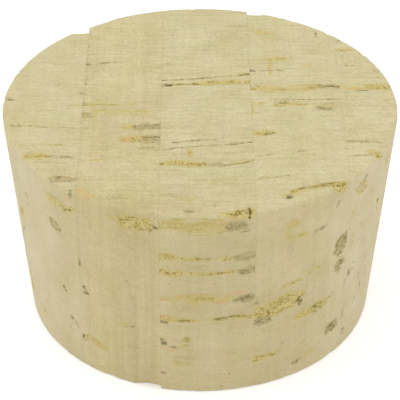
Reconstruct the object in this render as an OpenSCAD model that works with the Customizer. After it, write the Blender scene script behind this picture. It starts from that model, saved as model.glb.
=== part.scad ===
// Tapered cork stopper, turned from a block of five strips of bark cork glued side by side.
// Millimetres. It stands on its small end: the origin is the centre of that face, +Z is up,
// and the strips lie next to each other along X, seen from the front, which is -Y.

/* [Stopper] */
// Diameter of the wide top face
top_d = 67; // [60:0.5:90]
// Diameter of the narrow bottom face
bottom_d = 60; // [54:0.5:80]
// Height from the bottom face to the top face
height = 38.5; // [25:0.5:60]
// Radius of the worn rim round each face
rim_r = 0.4; // [0.2:0.1:1]

/* [Glued strips] */
// Thickness of the strip to the left of the centre strip
left_strip_t = 13.3; // [10:0.1:15]
// Thickness of the centre strip
centre_strip_t = 15.3; // [11:0.1:18]
// Thickness of the strip to the right of the centre strip
right_strip_t = 15.3; // [10:0.1:16]
// How far the centre strip's middle lies to the right of the turning axis
block_shift = 1.05; // [-2:0.05:2]

/* [Bark pores] */
// Depth of a pore for each millimetre of its width
pore_depth = 0.35; // [0.2:0.05:0.5]
// The deepest that a wide pore goes
deepest_pore = 0.6; // [0.3:0.05:1.2]
// Depth of a chip in a rim for each millimetre of its width
chip_depth = 0.35; // [0.2:0.05:0.45]
// Pores on each strip's hidden back, and as many underneath
hidden_pores = 3; // [1:1:5]
// Pattern number of the hidden pores
hidden_pattern = 11; // [1:1:99]

/* [Hidden] */
$fn = 128;

top_r = top_d / 2;
bottom_r = bottom_d / 2;
taper = atan((top_r - bottom_r) / height);
clear_of_body = top_r + bottom_r;

// Glue planes, from left to right, and the outer ends of the block
glue_x2 = block_shift - centre_strip_t / 2;
glue_x3 = block_shift + centre_strip_t / 2;
glue_x1 = glue_x2 - left_strip_t;
glue_x4 = glue_x3 + right_strip_t;

LEFT_END = 0;
LEFT = 1;
CENTRE = 2;
RIGHT = 3;
RIGHT_END = 4;
glue_planes = [-clear_of_body, glue_x1, glue_x2, glue_x3, glue_x4, clear_of_body];

cork_tones = [
    [0.84, 0.79, 0.63],
    [0.81, 0.75, 0.57],
    [0.83, 0.77, 0.60],
    [0.82, 0.76, 0.59],
    [0.84, 0.80, 0.64]
];

// Pores that open on the top face: strip, place across the strip (0 at its left edge, 1 at its right),
// place from the axis to the rim (-1 front, 1 back), length along X, width, turn in degrees
top_pores = [
    [LEFT_END, 0.84, -0.91, 3.4, 1.4, 0],
    [LEFT_END, 0.52, -0.76, 6.5, 1.0, -2],
    [LEFT_END, 0.20, -0.46, 4.5, 0.8, -3],
    [LEFT, 0.74, -0.23, 5.0, 1.6, 0],
    [LEFT, 0.74, -0.35, 5.0, 1.8, 0],
    [LEFT, 0.20, 0.46, 4.6, 0.7, 7],
    [CENTRE, 0.50, 0.20, 14.0, 1.2, 4],
    [CENTRE, 0.26, -0.55, 7.0, 1.4, -3],
    [CENTRE, 0.75, -0.55, 6.0, 0.9, 14],
    [RIGHT, 0.45, 0.18, 13.0, 1.4, 4],
    [RIGHT, 0.42, 0.01, 6.0, 1.4, 0],
    [RIGHT, 0.83, -0.05, 2.2, 1.8, 0],
    [RIGHT, 0.12, -0.29, 3.6, 1.2, 4],
    [RIGHT, 0.34, -0.92, 2.0, 1.7, 10],
    [RIGHT, 0.66, -0.90, 9.0, 0.8, 15],
    [RIGHT_END, 0.20, 0.85, 3.4, 1.0, -4],
    [RIGHT_END, 0.60, 0.32, 6.5, 1.2, -2],
    [RIGHT_END, 0.52, -0.95, 2.0, 1.4, -20]
];

// Pores that open on the front of the side: strip, place across the strip's front, height as a share,
// length round the side, width up the side, turn in degrees
front_pores = [
    [LEFT_END, 0.80, 0.757, 3.2, 2.0, -10],
    [LEFT_END, 0.84, 0.900, 5.0, 1.6, 8],
    [LEFT_END, 0.88, 0.233, 2.4, 0.9, -35],
    [LEFT_END, 0.55, 0.785, 1.8, 1.4, 20],
    [LEFT, 0.04, 0.460, 1.2, 1.5, 0],
    [LEFT, 0.15, 0.170, 3.6, 1.3, 0],
    [LEFT, 0.72, 0.930, 5.6, 2.6, 8],
    [CENTRE, 0.42, 0.947, 10.0, 1.4, 0],
    [CENTRE, 0.82, 0.935, 3.4, 1.6, 0],
    [CENTRE, 0.32, 0.690, 6.0, 0.9, 0],
    [CENTRE, 0.88, 0.680, 2.6, 1.1, 0],
    [CENTRE, 0.42, 0.550, 8.0, 1.8, 0],
    [CENTRE, 0.90, 0.530, 3.2, 0.9, 0],
    [CENTRE, 0.20, 0.415, 5.0, 0.9, 0],
    [CENTRE, 0.04, 0.280, 1.2, 1.3, 0],
    [RIGHT, 0.24, 0.450, 8.6, 2.5, 14],
    [RIGHT, 0.62, 0.365, 4.8, 1.5, -4],
    [RIGHT, 0.90, 0.655, 3.4, 4.2, -15],
    [RIGHT, 0.92, 0.540, 1.7, 2.4, 25],
    [RIGHT, 0.93, 0.180, 2.7, 2.2, -15],
    [RIGHT, 0.14, 0.165, 3.6, 1.0, 0],
    [RIGHT_END, 0.10, 0.905, 2.4, 1.8, -30],
    [RIGHT_END, 0.07, 0.450, 0.8, 1.6, 10],
    [RIGHT_END, 0.42, 0.720, 2.6, 0.8, -50]
];

// Chips knocked out of the rims: strip, true for the top rim, true for the front, place across the strip,
// length round the rim, width across the rim
rim_chips = [
    [LEFT_END, true, false, 1.00, 9.0, 6.2],
    [LEFT, true, false, 0.08, 16.0, 1.8],
    [RIGHT, true, false, 0.00, 9.0, 3.6],
    [RIGHT, true, false, 0.94, 2.0, 1.4],
    [RIGHT_END, true, false, 0.32, 1.8, 1.2],
    [CENTRE, true, true, 0.86, 4.8, 2.4],
    [LEFT, false, true, 0.88, 6.5, 2.9]
];

function side_r(z) = bottom_r + (top_r - bottom_r) * z / height;
function left_edge(strip, r) = max(glue_planes[strip], -r);
function right_edge(strip, r) = min(glue_planes[strip + 1], r);
function across(strip, share, r) =
    left_edge(strip, r) + share * (right_edge(strip, r) - left_edge(strip, r));
// Angle round the axis from the front, positive towards the right
function front_angle(strip, share, r) =
    asin(left_edge(strip, r) / r) * (1 - share) + asin(right_edge(strip, r) / r) * share;

// Half section of the stopper: straight tapered side, with both rims rounded to arcs
module half_section() {
    top_rim = [top_r - rim_r * (1 + sin(taper)) / cos(taper), height - rim_r];
    bottom_rim = [bottom_r - rim_r * (1 - sin(taper)) / cos(taper), rim_r];
    side_offset = rim_r * [cos(taper), -sin(taper)];
    polygon([
        [0, 0],
        [bottom_rim[0], 0],
        bottom_rim + side_offset,
        top_rim + side_offset,
        [top_rim[0], height],
        [0, height]
    ]);
    for (rim = [top_rim, bottom_rim])
        translate(rim) circle(rim_r);
}

module turned_block() {
    rotate_extrude() half_section();
}

// Lens-shaped cutter for a pore or chip, its mouth in the XY plane and its deepest point below the origin
module scoop(length, width, depth) {
    long = max(length, width);
    short = min(length, width);
    cross_r = short * short / (8 * depth) + depth / 2;
    long_r = long * long / (8 * depth) + depth / 2;
    translate([0, 0, cross_r - depth])
        rotate(length < width ? [90, 0, 0] : [0, 90, 0])
        rotate_extrude()
        intersection() {
            translate([cross_r - long_r, 0]) circle(long_r);
            translate([0, -long]) square([cross_r, 2 * long]);
        }
}

module pore(length, width) {
    scoop(length, width, min(pore_depth * min(length, width), deepest_pore));
}

module chip(length, width) {
    scoop(length, width, chip_depth * width);
}

// Puts a cutter on the top face
module on_top(strip, share, place, turn) {
    x = across(strip, share, top_r);
    y = place * sqrt(top_r * top_r - x * x);
    translate([x, y, height]) rotate(turn) children();
}

// Puts a cutter on the bottom face
module on_bottom(strip, share, place) {
    x = across(strip, share, bottom_r);
    y = place * sqrt(bottom_r * bottom_r - x * x);
    translate([x, y, 0]) mirror([0, 0, 1]) children();
}

// Puts a cutter on the side at a height, leaning out with the taper
module on_side(strip, share, level, turn, front = true) {
    r = side_r(level * height);
    angle = front_angle(strip, share, r);
    rotate(front ? angle : 180 - angle)
        translate([0, -r, level * height])
        rotate([90 + taper, 0, 0])
        rotate(turn)
        children();
}

// Puts a cutter on a rim, facing half-way between the side and the face
module on_rim(strip, share, at_top, front) {
    r = at_top ? top_r : bottom_r;
    angle = front_angle(strip, share, r);
    rotate(front ? angle : 180 - angle)
        translate([0, -r, at_top ? height : 0])
        rotate([at_top ? 45 : 135, 0, 0])
        children();
}

module seen_pores(strip) {
    for (p = top_pores)
        if (p[0] == strip) on_top(strip, p[1], p[2], p[5]) pore(p[3], p[4]);
    for (p = front_pores)
        if (p[0] == strip) on_side(strip, p[1], p[2], p[5]) pore(p[3], p[4]);
    for (c = rim_chips)
        if (c[0] == strip) on_rim(strip, c[3], c[1], c[2]) chip(c[4], c[5]);
}

// Pores of the back and the underside, spread by a numbered pattern
module hidden_side_pores(strip) {
    seed = hidden_pattern + 10 * strip;
    shares = rands(0.2, 0.8, 2 * hidden_pores, seed);
    lengths = rands(2, 6, 2 * hidden_pores, seed + 1);
    widths = rands(0.8, 1.6, 2 * hidden_pores, seed + 2);
    for (i = [0 : hidden_pores - 1]) {
        spread = (i + 0.5) / hidden_pores;
        on_side(strip, shares[i], 0.1 + 0.8 * spread, 0, front = false) pore(lengths[i], widths[i]);
        under = hidden_pores + i;
        on_bottom(strip, shares[under], 1.4 * spread - 0.7) pore(lengths[under], widths[under]);
    }
}

// One glued strip: its slab of the turned block, less the pores and chips in it
module strip(number) {
    slab = [glue_planes[number + 1] - glue_planes[number], 2 * clear_of_body, 2 * height];
    color(cork_tones[number])
    difference() {
        intersection() {
            turned_block();
            translate([glue_planes[number], -clear_of_body, -height / 2]) cube(slab);
        }
        seen_pores(number);
        hidden_side_pores(number);
    }
}

module left_end_strip() {
    strip(LEFT_END);
}

module left_strip() {
    strip(LEFT);
}

module centre_strip() {
    strip(CENTRE);
}

module right_strip() {
    strip(RIGHT);
}

module right_end_strip() {
    strip(RIGHT_END);
}

left_end_strip();
left_strip();
centre_strip();
right_strip();
right_end_strip();
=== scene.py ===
# %% [markdown]
# # A cork stopper in five strips
# Bark cork is only a few centimetres thick, so a wide stopper is glued up from strips and then turned to
# its taper on a lathe. The CAD solids already hold the five strips, the taper, the larger bark pores and
# the chips in the rims. This lesson gives them what bark cork looks like close up: crumbly ochre pores
# that run across each strip, thin dark cracks, growth bands, and a skin with a fine grain.

import math

import bmesh
import bpy
import numpy as np
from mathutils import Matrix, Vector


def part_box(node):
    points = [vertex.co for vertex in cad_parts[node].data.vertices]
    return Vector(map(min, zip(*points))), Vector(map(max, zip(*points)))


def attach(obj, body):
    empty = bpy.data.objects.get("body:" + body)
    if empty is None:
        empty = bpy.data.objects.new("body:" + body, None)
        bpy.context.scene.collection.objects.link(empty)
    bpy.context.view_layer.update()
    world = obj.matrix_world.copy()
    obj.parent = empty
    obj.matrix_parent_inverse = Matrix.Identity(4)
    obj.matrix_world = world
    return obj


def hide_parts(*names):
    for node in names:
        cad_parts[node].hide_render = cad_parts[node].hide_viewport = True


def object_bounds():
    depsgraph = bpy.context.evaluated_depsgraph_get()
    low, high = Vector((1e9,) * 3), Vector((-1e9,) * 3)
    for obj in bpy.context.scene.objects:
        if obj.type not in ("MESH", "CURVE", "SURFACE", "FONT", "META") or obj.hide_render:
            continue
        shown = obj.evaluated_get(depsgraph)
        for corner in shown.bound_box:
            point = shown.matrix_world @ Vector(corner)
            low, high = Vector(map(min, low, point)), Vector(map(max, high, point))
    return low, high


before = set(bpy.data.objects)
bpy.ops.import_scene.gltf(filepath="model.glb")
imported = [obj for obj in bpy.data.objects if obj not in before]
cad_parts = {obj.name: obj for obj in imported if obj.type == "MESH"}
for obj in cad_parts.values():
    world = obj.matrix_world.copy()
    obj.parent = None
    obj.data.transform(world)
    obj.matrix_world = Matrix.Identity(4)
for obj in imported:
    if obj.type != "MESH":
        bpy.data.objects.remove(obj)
cad_low, cad_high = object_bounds()
MM = 0.001
STRIPS = ["left_end_strip", "left_strip", "centre_strip", "right_strip", "right_end_strip"]
print("CAD box in mm:", [round(v / MM, 2) for v in (*cad_low, *cad_high)])

# %% [markdown]
# ## The turned block
# The lathe leaves a straight tapered side between two flat faces, and handling wears both rims round.
# The sizes are those of the solids. The glue planes are read from the solids' own boxes, so every strip
# that is made here ends exactly where its solid ends. All arrays are in millimetres until they go into a
# mesh, because a pore of 0.4 is easier to picture than one of 0.0004.

# %% Sizes in millimetres
TOP_R = 33.5
BOTTOM_R = 30.0
HEIGHT = cad_high.z / MM
RIM_R = 0.4
ARC_POINTS = 12
TAPER = math.atan((TOP_R - BOTTOM_R) / HEIGHT)
GLUE_X = [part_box(name)[0].x / MM for name in STRIPS[1:]]
print("glue planes at x =", [round(x, 2) for x in GLUE_X])


def side_radius(z):
    """Radius of the cone at height z: it grows evenly from the bottom radius to the top radius."""
    return BOTTOM_R + (TOP_R - BOTTOM_R) * z / HEIGHT


def half_section(count):
    """The side as count points (r, z), evenly spaced, from the bottom flat to the top flat.

    Each rim is an arc of the rim radius, tangent to its flat face and to the leaning side, so its centre
    lies one rim radius from both. The straight side joins the two arcs."""
    lean = math.sin(TAPER)
    upright = math.cos(TAPER)
    low_r = BOTTOM_R - RIM_R * (1 - lean) / upright
    high_r = TOP_R - RIM_R * (1 + lean) / upright
    low = np.linspace(-math.pi / 2, -TAPER, ARC_POINTS)
    high = np.linspace(-TAPER, math.pi / 2, ARC_POINTS)
    r = np.concatenate([low_r + RIM_R * np.cos(low), high_r + RIM_R * np.cos(high)])
    z = np.concatenate([RIM_R + RIM_R * np.sin(low), HEIGHT - RIM_R + RIM_R * np.sin(high)])
    run = np.concatenate([[0], np.cumsum(np.hypot(np.diff(r), np.diff(z)))])
    even = np.linspace(0, run[-1], count)
    return np.interp(even, run, r), np.interp(even, run, z)


# %% [markdown]
# ## Grids for the strips
# A strip could be cut from the block with a boolean, but that leaves long thin triangles that can't take
# fine relief. So each strip is a grid of small, nearly square faces. A full slice is a row of closed loops,
# one for each x: up the front, over the top, down the back and home underneath. An end strip is a row of
# open sections, one for each place round its outer side, running from the glue plane underneath, up the
# outside and back over the top to the glue plane. One flat face then closes each glued side.

# %% Grid spacing and the two kinds of grid
STEP_X = 0.22
STEP_SIDE = 0.165
STEP_TOP = 0.165
STEP_HIDDEN = 0.26
END_STEP_SIDE = 0.19
END_STEP_TOP = 0.20
END_STEP_HIDDEN = 0.30


def steps(length, size):
    """How many grid steps of about this size fit a length."""
    return max(2, round(length / size))


def grid_faces(columns, rows, closed):
    """Quads between neighbouring columns and rows of a grid whose points are numbered column by column."""
    number = np.arange(columns * rows).reshape(columns, rows)
    after = np.roll(number, -1, axis=1)
    last = rows if closed else rows - 1
    quads = [number[:-1, :last], number[1:, :last], after[1:, :last], after[:-1, :last]]
    return np.stack([q.ravel() for q in quads], axis=1), number


def slice_grid(left, right):
    """A full slice. Its front and back follow the cone: y is the square root of r squared less x squared,
    negative in front. Top and bottom run straight from one rim to the other."""
    x = np.linspace(left, right, steps(right - left, STEP_X) + 1)[:, None]
    r, z = half_section(steps(HEIGHT, STEP_SIDE))
    back_r, back_z = half_section(steps(HEIGHT, STEP_HIDDEN))
    front_y = -np.sqrt(r**2 - x**2)
    back_y = np.sqrt(back_r[::-1] ** 2 - x**2)
    over = np.linspace(-1, 1, steps(2 * TOP_R, STEP_TOP))[1:-1]
    under = np.linspace(1, -1, steps(2 * BOTTOM_R, STEP_HIDDEN))[1:-1]
    y = np.hstack([front_y, back_y[:, :1] * over, back_y, back_y[:, -1:] * under])
    level = np.concatenate([z, HEIGHT + 0 * over, back_z[::-1], 0 * under])
    points = np.stack(np.broadcast_arrays(x, y, level), axis=-1)
    quads, number = grid_faces(*points.shape[:2], closed=True)
    return points.reshape(-1, 3), quads, [number[0], number[-1][::-1]]


def end_grid(glue_x):
    """An end strip. At radius r the glue plane cuts the circle at an angle of arc cosine of glue_x over r
    from the strip's middle, and the columns share that angle evenly. From the outer edge, top and bottom
    run straight along x to the glue plane."""
    r, z = half_section(steps(HEIGHT, END_STEP_SIDE))
    half_angle = np.arccos(abs(glue_x) / r)
    columns = steps(2 * TOP_R * half_angle[-1], STEP_X)
    share = np.linspace(-1, 1, columns + 1)[:, None]
    angle = math.copysign(math.pi / 2, glue_x) + share * half_angle
    x = r * np.sin(angle)
    y = -r * np.cos(angle)
    reach = TOP_R - abs(glue_x)
    over = np.linspace(0, 1, steps(reach, END_STEP_TOP))[1:]
    under = np.linspace(1, 0, steps(reach, END_STEP_HIDDEN))[:-1]
    top_x = x[:, -1:] + (glue_x - x[:, -1:]) * over
    bottom_x = x[:, :1] + (glue_x - x[:, :1]) * under
    x = np.hstack([bottom_x, x, top_x])
    y = np.hstack([y[:, :1] + 0 * under, y, y[:, -1:] + 0 * over])
    level = np.concatenate([0 * under, z, HEIGHT + 0 * over])
    points = np.stack(np.broadcast_arrays(x, y, level), axis=-1)
    quads, number = grid_faces(*points.shape[:2], closed=False)
    first = len(under)
    last = first + len(z) - 1
    rim = [number[0, first:last], number[:, -1], number[-1, first:last][::-1], number[::-1, 0]]
    return points.reshape(-1, 3), quads, [np.concatenate(rim)]


# %% [markdown]
# ## From a grid to a mesh
# The end strips' outermost columns shrink to a point on the top and bottom, so doubles are merged before
# anything else is worked out. After that a strip is only a list of points, and every field below is a
# formula over that list.

# %% Make the five smooth strips
SAME_POINT = 1e-7


def make_strip(name, points, quads, caps):
    """Puts the grid into a mesh, adds the glued faces, merges doubles and returns the object."""
    mesh = bpy.data.meshes.new(name + "_cork")
    faces = quads.tolist() + [cap.tolist() for cap in caps]
    mesh.from_pydata(points * MM, [], faces)
    merged = bmesh.new()
    merged.from_mesh(mesh)
    bmesh.ops.remove_doubles(merged, verts=merged.verts, dist=SAME_POINT)
    merged.to_mesh(mesh)
    merged.free()
    piece = bpy.data.objects.new(name + "_cork", mesh)
    bpy.context.scene.collection.objects.link(piece)
    return piece


def places(mesh):
    """The mesh's points as an array of millimetres."""
    flat = np.empty(len(mesh.vertices) * 3, np.float32)
    mesh.vertices.foreach_get("co", flat)
    return flat.reshape(-1, 3).astype(float) / MM


pieces = {}
for name, left, right in zip(STRIPS[1:4], GLUE_X[:3], GLUE_X[1:]):
    pieces[name] = make_strip(name, *slice_grid(left, right))
pieces["left_end_strip"] = make_strip("left_end_strip", *end_grid(GLUE_X[0]))
pieces["right_end_strip"] = make_strip("right_end_strip", *end_grid(GLUE_X[3]))
smooth = {name: places(pieces[name].data) for name in STRIPS}
for name in STRIPS:
    print(name, len(smooth[name]), "points")

# %% [markdown]
# ## Pores and chips from the solids
# The solids have real hollows where the larger pores open and where the rims are chipped. A Shrinkwrap
# modifier finds, for every grid point, the nearest point of its solid. The move to that point is the
# hollow. Moves of a few hundredths of a millimetre are only the solid's facets, so they are faded out.

# %% Measure how far each point has to sink to meet its solid
FACET_NOISE = 0.03
FULL_MOVE = 0.09


def smooth_step(low, high, value):
    """0 below low, 1 above high, and the curve 3t^2 - 2t^3 between them."""
    t = np.clip((value - low) / (high - low), 0, 1)
    return t * t * (3 - 2 * t)


def move_to_solid(piece, node, start):
    """The move, in millimetres, that brings each point onto the CAD solid."""
    wrap = piece.modifiers.new("to_solid", "SHRINKWRAP")
    wrap.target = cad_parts[node]
    wrap.wrap_method = "NEAREST_SURFACEPOINT"
    graph = bpy.context.evaluated_depsgraph_get()
    shown = piece.evaluated_get(graph)
    move = places(shown.to_mesh()) - start
    shown.to_mesh_clear()
    piece.modifiers.remove(wrap)
    size = np.linalg.norm(move, axis=1)
    return move * smooth_step(FACET_NOISE, FULL_MOVE, size)[:, None]


hollow = {name: move_to_solid(pieces[name], name, smooth[name]) for name in STRIPS}
for name in STRIPS:
    print(name, "deepest hollow", round(float(np.linalg.norm(hollow[name], axis=1).max()), 2), "mm")

# %% [markdown]
# Pores are rarely empty. Loose crumbs fill the lower part of each hollow, so the pores sink less deep than
# the solids' hollows. A chip in a rim is a clean break and keeps its full depth.

# %% Fill the pores part of the way
CRUMBS_FILL = 0.5
CHIP_EDGE = 0.4
CHIP_BAND = 3.2


def from_edge(points):
    """Distance from the nearest rim, along the face or along the side."""
    x, y, z = points.T
    to_side = side_radius(z) - np.hypot(x, y)
    to_face = np.minimum(z, HEIGHT - z)
    return np.maximum(to_side, to_face)


off_rim = {name: smooth_step(CHIP_EDGE, CHIP_BAND, from_edge(smooth[name])) for name in STRIPS}
for name in STRIPS:
    hollow[name] *= (1 - CRUMBS_FILL * off_rim[name])[:, None]

# %% [markdown]
# ## Random fields
# Cork is never regular, so lines wander and pores have crumbs. Blender's noise textures only work inside
# a material. For shapes the same idea takes a few lines of numpy: random numbers on the corners of a
# lattice, blended smoothly in between. A hash of the corner's whole-number place gives the random number,
# so the result is the same on every run. Each field has a seed of its own.

# %% Value noise and a wandering offset
HASH_X, HASH_Y, HASH_Z, HASH_SEED = 374761393, 668265263, 2147483647, 1274126177
HASH_BITS = 0xFFFFFF
FIRST_SHIFT = 13
LAST_SHIFT = 16
SEEDS = dict(crumbs=5, fine_crumbs=6, skin=8, coarse_skin=9, wear=31, bites=32, grey=41)


def value_noise(points, size, seed):
    """A smooth random field from -1 to 1. Each point blends the eight corners of its lattice cell, and
    the share of a corner is the product of 3t^2 - 2t^3 along the three axes."""
    cell = points / size
    base = np.floor(cell).astype(np.int64)
    share = smooth_step(0, 1, cell - base)
    total = np.zeros(len(points))
    for corner in np.ndindex(2, 2, 2):
        place = base + corner
        mixed = place[:, 0] * HASH_X + place[:, 1] * HASH_Y + place[:, 2] * HASH_Z + seed * HASH_SEED
        mixed = (mixed ^ (mixed >> FIRST_SHIFT)) * HASH_SEED
        random = ((mixed ^ (mixed >> LAST_SHIFT)) & HASH_BITS) / HASH_BITS
        total += random * np.prod(np.where(corner, share, 1 - share), axis=1)
    return 2 * total - 1


def wander(points, size, amount, seed):
    """The points, each pushed by a smooth random offset, so that straight marks come out wavy."""
    push = [value_noise(points, size, seed + axis) for axis in range(3)]
    return points + amount * np.stack(push, axis=1)


# %% [markdown]
# ## The marks of the bark
# Bark breathes through channels filled with loose ochre tissue. They run through the bark's thickness,
# which here is along x, so on the top and the front they show as level dashes that stop at a glue line,
# and on the two ends they show as spots. Each mark is a path with a width. The field of a mark is 1 on
# its path, 0 at its edge and negative outside, and the strength scales what is inside. There are four
# kinds: crumbly ochre, weathered grey, dark cracks and rusty stains. A few of the dark marks, at a chip in
# the front rim, are painted shade.

# %% Paths on the top and on the side
RING_POINTS = 13


def top(*places_xy):
    """A path on the top face through points (x, y)."""
    return np.array([(x, y, HEIGHT) for x, y in places_xy], float)


def side(*places_az):
    """A path on the side through points (angle, z). Angle 0 is the front and positive is to the right."""
    a, z = np.array(places_az, float).T
    r = side_radius(z)
    return np.stack([r * np.sin(np.radians(a)), -r * np.cos(np.radians(a)), z], axis=1)


def ring(angle, z, length, height, turn):
    """A closed oval path on the side: an ellipse of this length and height, turned by an angle."""
    t = np.linspace(0, 2 * math.pi, RING_POINTS)
    along = length / 2 * np.cos(t)
    up = height / 2 * np.sin(t)
    c, s = math.cos(math.radians(turn)), math.sin(math.radians(turn))
    degrees = np.degrees((along * c - up * s) / side_radius(z))
    return side(*zip(angle + degrees, z + along * s + up * c))


marks = {name: [] for name in STRIPS}


def draw(strip_marks, kind, path, rows):
    """Adds marks of one kind. A row is a strength, a width and then what the path function asks for."""
    for strength, width, *where in rows:
        strip_marks.append((kind, strength, width, path(*where)))


# %% [markdown]
# ### Marks of the left end strip
# Seen end-on at the left, the channels are spots and rings. On the top they are short level dashes.

# %% Left end strip
here = marks["left_end_strip"]
draw(here, "ochre", top, [
    (0.35, 0.9, (-32.8, -7.0), (-27.0, -7.1)),
    (0.42, 0.7, (-31.0, -13.0), (-22.0, -12.9)),
    (0.9, 1.4, (-29.6, -16.4), (-24.8, -16.3)),
])
draw(here, "rust", top, [
    (0.8, 0.6, (-28.9, -15.7), (-28.7, -17.1)),
    (0.7, 1.2, (-22.8, -23.1), (-20.0, -23.0)),
])
draw(here, "grey", top, [
    (0.5, 0.9, (-24.8, -16.4), (-19.5, -16.6)),
    (0.55, 1.5, (-23.8, -23.1), (-20.2, -23.1)),
    (0.15, 1.8, (-24.6, 5.9), (-22.0, 5.5)),
])
draw(here, "dark", top, [
    (0.45, 0.5, (-32.5, -7.0), (-28.0, -7.1), (-25.0, -7.5)),
    (0.25, 0.4, (-26.0, -7.4), (-20.5, -8.0)),
    (0.5, 1.2, (-33.4, 1.8), (-32.2, 1.6)),
    (0.18, 0.4, (-30.5, -13.0), (-22.0, -12.9)),
    (0.28, 0.4, (-24.0, -22.5), (-20.0, -22.4)),
    (0.28, 0.4, (-23.6, -23.8), (-20.0, -23.7)),
    (0.2, 0.7, (-20.7, 3.9), (-20.4, 3.3)),
])
draw(here, "ochre", side, [
    (0.62, 2.1, (-47.2, 34.7), (-45.2, 34.2)),
    (0.62, 1.5, (-45.4, 33.9), (-41.0, 34.0), (-37.6, 34.7)),
    (0.35, 1.0, (-62.4, 5.5), (-62.0, 4.1)),
    (0.2, 1.0, (-67.2, 22.7), (-66.8, 21.5)),
])
draw(here, "rust", side, [
    (0.35, 1.6, (-39.6, 36.8), (-37.2, 37.4)),
])
draw(here, "grey", side, [
    (0.5, 1.2, (-48.2, 29.5), (-45.0, 28.6)),
    (0.4, 0.8, (-62.0, 31.0), (-61.2, 28.8)),
    (0.7, 0.8, (-45.5, 10.0), (-41.4, 8.3)),
])
draw(here, "dark", side, [
    (0.3, 0.8, (-43.0, 33.7), (-39.0, 34.3)),
    (0.4, 0.9, (-38.8, 37.4), (-38.6, 38.0)),
    (0.42, 0.8, (-46.3, 15.8), (-45.8, 15.3)),
    (0.18, 0.5, (-44.8, 9.7), (-41.8, 8.5)),
])
draw(here, "ochre", ring, [
    (0.2, 1.0, -39.0, 33.0, 1.4, 2.6, 0),
])
draw(here, "grey", ring, [
    (0.7, 0.7, -46.6, 29.0, 3.2, 1.4, -18),
])
draw(here, "dark", ring, [
    (0.24, 0.5, -46.6, 29.0, 3.2, 1.4, -18),
])

# %% [markdown]
# ### Marks of the left strip
# This strip has the clearest growth bands on its side. It also has two ochre pores with a grey tail on
# the top, and one of the two large crumbly pores, just under the rim.

# %% Left strip
here = marks["left_strip"]
draw(here, "ochre", top, [
    (0.58, 0.8, (-20.0, -0.3), (-10.8, -0.2)),
    (0.46, 0.9, (-19.0, -2.4), (-6.2, -2.6)),
    (0.4, 0.7, (-17.4, -3.6), (-7.0, -3.7)),
    (0.5, 1.7, (-20.2, -3.6), (-18.2, -3.8)),
    (0.7, 1.6, (-12.4, -7.3), (-10.2, -7.5)),
    (1.0, 1.9, (-12.4, -11.3), (-8.9, -11.1)),
    (0.22, 0.9, (-20.2, -17.3), (-15.0, -17.4)),
    (0.5, 1.7, (-19.2, -26.9), (-17.4, -27.6)),
])
draw(here, "rust", top, [
    (0.6, 0.8, (-12.1, -12.1), (-11.8, -10.2)),
    (0.5, 1.8, (-19.4, -26.8), (-17.6, -27.7)),
])
draw(here, "grey", top, [
    (0.55, 1.4, (-20.2, -3.4), (-18.8, -3.7)),
    (0.9, 1.7, (-10.6, -7.2), (-6.0, -7.4)),
    (0.6, 2.4, (-8.9, -11.4), (-6.0, -11.5)),
    (0.5, 1.1, (-10.2, -13.9), (-6.0, -14.3)),
])
draw(here, "dark", top, [
    (0.8, 0.5, (-20.2, 13.1), (-19.0, 13.2)),
    (0.9, 0.45, (-18.3, 13.4), (-14.4, 14.0)),
    (0.26, 0.4, (-19.7, 26.6), (-19.6, 16.0), (-19.7, 5.7), (-19.7, 0.0)),
    (0.12, 0.3, (-20.0, -0.3), (-10.8, -0.2)),
    (0.28, 0.7, (-20.2, -0.3), (-18.9, -0.3)),
    (0.55, 0.4, (-8.6, -10.5), (-6.2, -10.7)),
    (0.55, 0.4, (-9.0, -12.2), (-6.2, -12.3)),
])
draw(here, "ochre", side, [
    (0.75, 1.5, (-38.0, 7.2), (-34.5, 6.8), (-30.8, 6.2)),
    (0.35, 1.1, (-26.4, 13.0), (-20.2, 13.0)),
    (0.5, 1.5, (-25.0, 35.8), (-20.5, 35.6)),
    (1.25, 2.4, (-21.4, 35.5), (-18.5, 35.7), (-14.6, 35.8)),
])
draw(here, "grey", side, [
    (0.4, 0.9, (-23.2, 12.8), (-20.6, 13.2)),
])
draw(here, "dark", side, [
    (0.42, 0.7, (-37.7, 24.2), (-37.7, 23.0)),
    (0.62, 1.1, (-37.4, 18.2), (-36.9, 17.4)),
    (0.62, 1.0, (-39.8, 6.8), (-39.4, 6.4)),
    (0.6, 0.8, (-14.8, 35.0), (-14.2, 34.8)),
    (0.6, 0.7, (-12.7, 35.5), (-12.2, 35.5)),
])

# %% [markdown]
# ### Marks of the centre strip
# Here the channels lie close together: a ladder of ochre dashes down the front, each with a grey end at
# the right-hand glue line, and long thin cracks across the top.

# %% Centre strip
here = marks["centre_strip"]
draw(here, "ochre", top, [
    (0.45, 1.0, (4.4, 9.0), (9.0, 9.8)),
    (0.4, 0.7, (-5.0, 6.3), (0.0, 6.7)),
    (1.1, 1.4, (-1.0, 6.7), (4.0, 6.9), (9.0, 7.3)),
    (0.18, 0.4, (-7.0, -3.5), (9.0, -3.3)),
    (0.4, 0.8, (4.2, -12.8), (9.0, -12.2)),
    (0.8, 1.0, (-1.9, -14.5), (-1.7, -16.3)),
    (1.1, 1.3, (-6.8, -18.6), (-4.0, -18.3), (-2.0, -18.8), (1.6, -18.7)),
    (0.6, 0.9, (4.0, -19.2), (9.0, -17.4)),
    (0.2, 0.6, (1.0, -24.3), (8.6, -24.3)),
    (0.3, 1.2, (-2.7, -28.8), (-1.3, -28.8)),
    (0.6, 1.2, (3.2, -33.0), (5.0, -32.9)),
    (1.6, 1.8, (4.8, -33.0), (7.8, -32.4)),
])
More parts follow.
